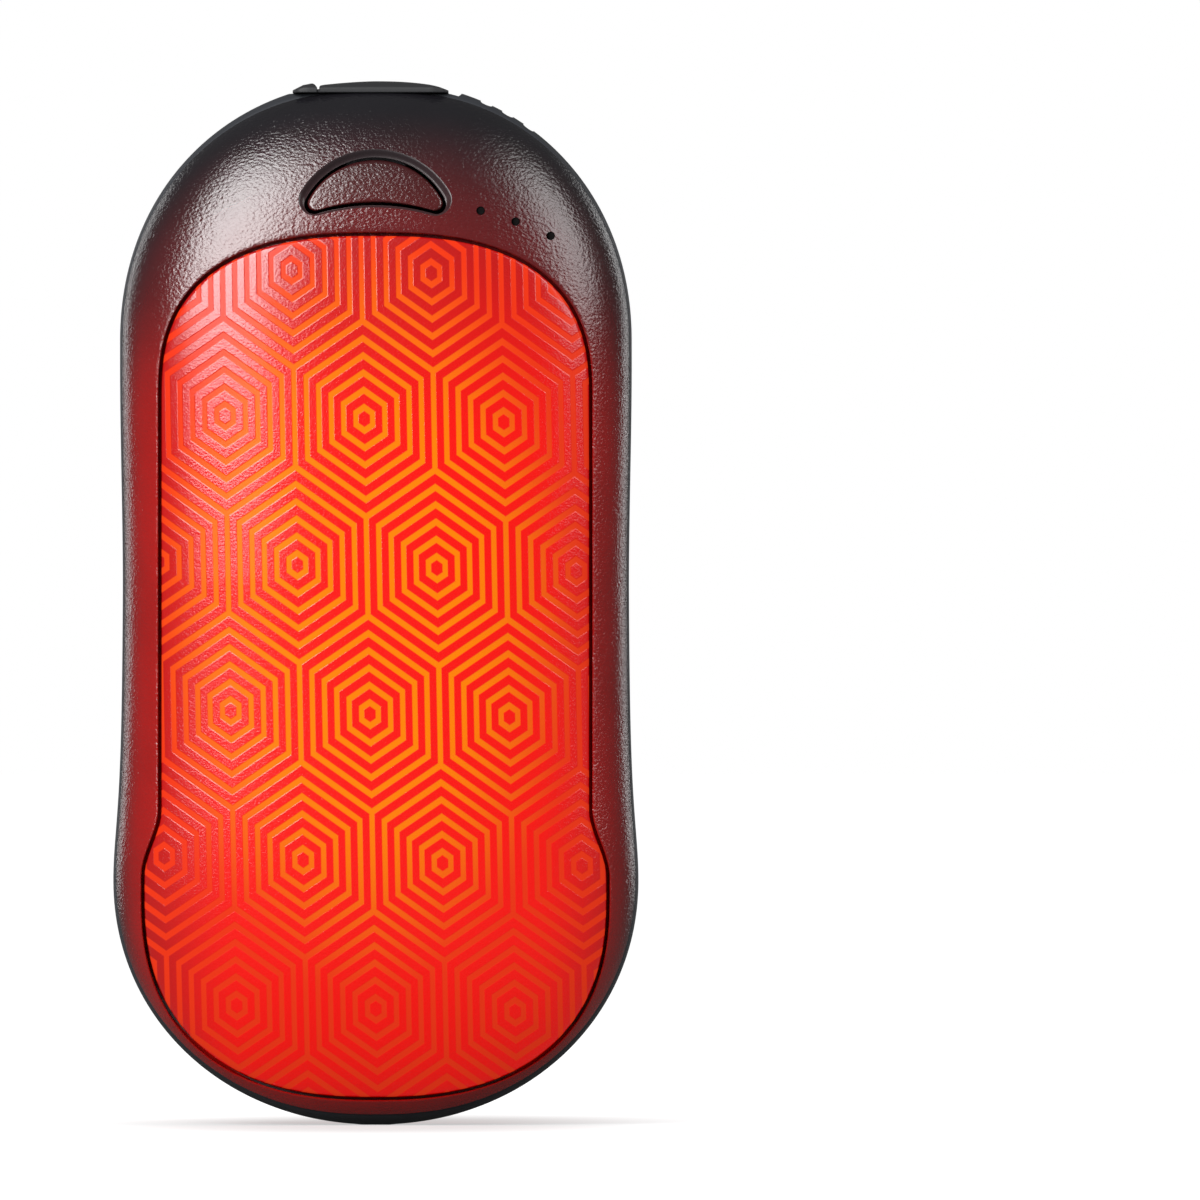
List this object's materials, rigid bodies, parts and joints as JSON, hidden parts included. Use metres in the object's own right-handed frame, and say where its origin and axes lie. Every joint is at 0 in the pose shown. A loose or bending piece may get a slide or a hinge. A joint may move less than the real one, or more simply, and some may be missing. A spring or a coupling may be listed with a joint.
{
  "type": "rechargeable hand warmer",
  "caption": "Palm-size rechargeable hand warmer with a waisted, rounded case, heated metal panels front and back, a half-moon button and a hinged rubber port cover.",
  "frame": {"origin": "middle of the rounded bottom end, at its lowest point", "axes": "+Z along the length towards the charging port, -Y out of the front face with the button, +X to the right as the front is seen"},
  "size_m": [0.055, 0.0282, 0.1092],
  "materials": {
    "shell_front": "fine streaked grain",
    "shell_back": "smooth satin",
    "band": "smooth satin",
    "panel": "fine grained red over aluminium, with smooth inlaid lines",
    "film": "amber polyimide",
    "foam": "foam",
    "cell_wrap": "shrink sleeve",
    "frame_plastic": "moulded",
    "nickel": "plated",
    "board": "solder mask",
    "socket_steel": "plated",
    "black_plastic": "moulded",
    "white_plastic": "moulded",
    "button": "fine streaked grain",
    "led": "clear lens",
    "clear_plastic": "frosted",
    "ferrite": "matt",
    "screw_steel": "zinc plated",
    "flap_rubber": "matt",
    "red_wire": "silicone lead",
    "white_wire": "silicone lead"
  },
  "bodies": {
    "housing": {"front_shell": "shell_front", "back_shell": "shell_back", "centre_band": "band", "front_heat_panel": "panel", "back_heat_panel": "panel", "front_heating_film": "film", "back_heating_film": "film", "front_foam_pad": "foam", "back_foam_pad": "foam", "battery_cell_left": "cell_wrap", "battery_cell_right": "cell_wrap", "cell_frame_top": "frame_plastic", "cell_frame_bottom": "frame_plastic", "nickel_strip_top": "nickel", "nickel_strip_bottom": "nickel", "control_board": "board", "usb_socket": "socket_steel", "usb_tongue": "black_plastic", "tact_switch": "black_plastic", "status_leds": "led", "light_pipe": "clear_plastic", "charge_inductor": "ferrite", "board_chips": "black_plastic", "lead_connectors": "white_plastic", "housing_screws": "screw_steel", "board_screws": "screw_steel", "flap_anchor": "flap_rubber", "thermistor": "ferrite", "battery_leads": "red_wire", "heater_leads": "white_wire"},
    "power_button": {"button_cap": "button", "switch_plunger": "white_plastic"},
    "port_cover": {"port_flap": "flap_rubber"}
  },
  "joints": [
    {"name": "button_press", "type": "slide", "parent": "housing", "child": "power_button", "axis": [0, 1, 0], "range_m": [0, 0.0005], "stiffness_N_per_m": 2000, "springref_m": -0.0003},
    {"name": "port_cover_hinge", "type": "hinge", "parent": "housing", "child": "port_cover", "pos_m": [-0.00595, 0, 0.10865], "axis": [0, -1, 0], "range_deg": [0, 105], "stiffness_Nm_per_rad": 0.0002}
  ]
}
